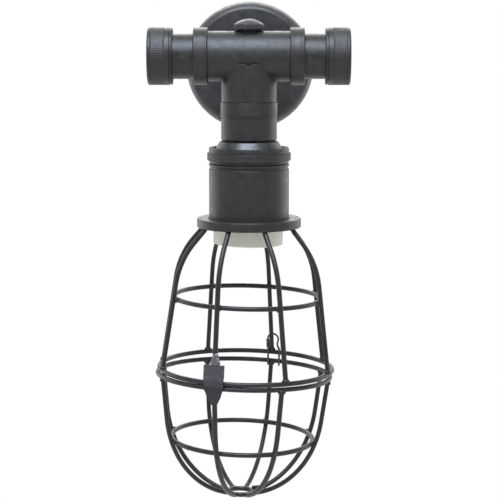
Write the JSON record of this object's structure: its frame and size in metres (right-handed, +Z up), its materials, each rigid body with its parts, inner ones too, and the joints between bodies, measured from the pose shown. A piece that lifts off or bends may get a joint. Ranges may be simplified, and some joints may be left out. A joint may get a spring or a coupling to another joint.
{
  "type": "cage wall light",
  "caption": "Industrial pipe-style wall light: round rose, arm and pipe tee with capped ends, a switch knob, and a swivelling lamp head with a hinged wire cage.",
  "frame": {"origin": "middle of the rose on the wall plane", "axes": "+Y into the wall, +Z up, +X to the viewer's right; the lamp stands out towards -Y"},
  "size_m": [0.1708, 0.1716, 0.4274],
  "materials": {
    "black_coat": "satin black powder coat",
    "wire_coat": "black powder coat on steel wire",
    "spring_steel": "blackened spring wire",
    "zinc_steel": "zinc plated",
    "brass": "bare brass",
    "white_ceramic": "unglazed white",
    "cream_plastic": "cream moulded plastic",
    "black_plastic": "black moulded plastic",
    "rubber": "matt black"
  },
  "bodies": {
    "fixture": {"wall_bracket": "zinc_steel", "earth_screw": "brass", "rose": "black_coat", "rose_screws": "black_coat", "terminal_block": "white_ceramic", "terminal_inserts": "brass", "terminal_screws": "zinc_steel", "arm_tube": "black_coat", "arm_nut": "zinc_steel", "arm_base_ring": "black_coat", "arm_lock_ring": "black_coat", "tee_body": "black_coat", "band_left": "black_coat", "band_right": "black_coat", "neck_left": "black_coat", "neck_right": "black_coat", "knob_seat": "black_coat", "switch_body": "black_plastic", "switch_nut": "zinc_steel", "drop_tube": "black_coat", "coupling_ring": "black_coat", "sleeve": "black_coat", "supply_cable": "rubber"},
    "cap_left": {"end_cap_left": "black_coat"},
    "cap_right": {"end_cap_right": "black_coat"},
    "knob_group": {"knob": "black_coat", "switch_spindle": "brass"},
    "head": {"swivel_nipple": "brass", "swivel_nut": "brass", "swivel_washer": "rubber", "holder_cup": "black_coat", "cup_nut": "brass", "cup_gasket": "rubber", "housing": "black_coat", "holder_cap": "white_ceramic", "holder_body": "white_ceramic", "screw_shell": "brass", "centre_contact": "brass", "holder_screws": "zinc_steel", "skirt": "cream_plastic", "head_cable": "rubber", "cage_top_ring": "wire_coat", "cage_screws": "zinc_steel", "upper_wires": "wire_coat", "upper_ring": "wire_coat", "upper_hoop": "wire_coat", "hinge_wire": "spring_steel", "latch_root": "black_coat"},
    "collar": {"knurled_collar": "black_coat"},
    "latch": {"latch_plate": "black_coat"},
    "basket": {"lower_hoop": "wire_coat", "lower_ring": "wire_coat", "bottom_ring": "wire_coat", "lower_wires": "wire_coat"}
  },
  "joints": [
    {"name": "head_swivel", "type": "hinge", "parent": "fixture", "child": "head", "pos_m": [0, -0.095, -0.061], "axis": [0, 0, 1], "range_deg": [-170, 170]},
    {"name": "knob_turn", "type": "hinge", "parent": "fixture", "child": "knob_group", "pos_m": [0, -0.095, 0.035], "axis": [0, 0, 1], "range_deg": [0, 90]},
    {"name": "cap_left_turn", "type": "hinge", "parent": "fixture", "child": "cap_left", "pos_m": [-0.075, -0.095, 0.01], "axis": [1, 0, 0], "range_deg": [0, 360]},
    {"name": "cap_right_turn", "type": "hinge", "parent": "fixture", "child": "cap_right", "pos_m": [0.075, -0.095, 0.01], "axis": [1, 0, 0], "range_deg": [0, 360]},
    {"name": "collar_turn", "type": "hinge", "parent": "head", "child": "collar", "pos_m": [0, -0.095, -0.073], "axis": [0, 0, 1], "range_deg": [0, 360]},
    {"name": "latch_flex", "type": "hinge", "parent": "head", "child": "latch", "pos_m": [-0.0279, -0.16698, -0.24059], "axis": [-0.9424, 0.3338, 0.0214], "range_deg": [0, 20], "stiffness_Nm_per_rad": 0.5},
    {"name": "basket_hinge", "type": "hinge", "parent": "head", "child": "basket", "pos_m": [0.02187, -0.0249, -0.26523], "axis": [0.9424, -0.3338, -0.0214], "range_deg": [0, 100]}
  ]
}
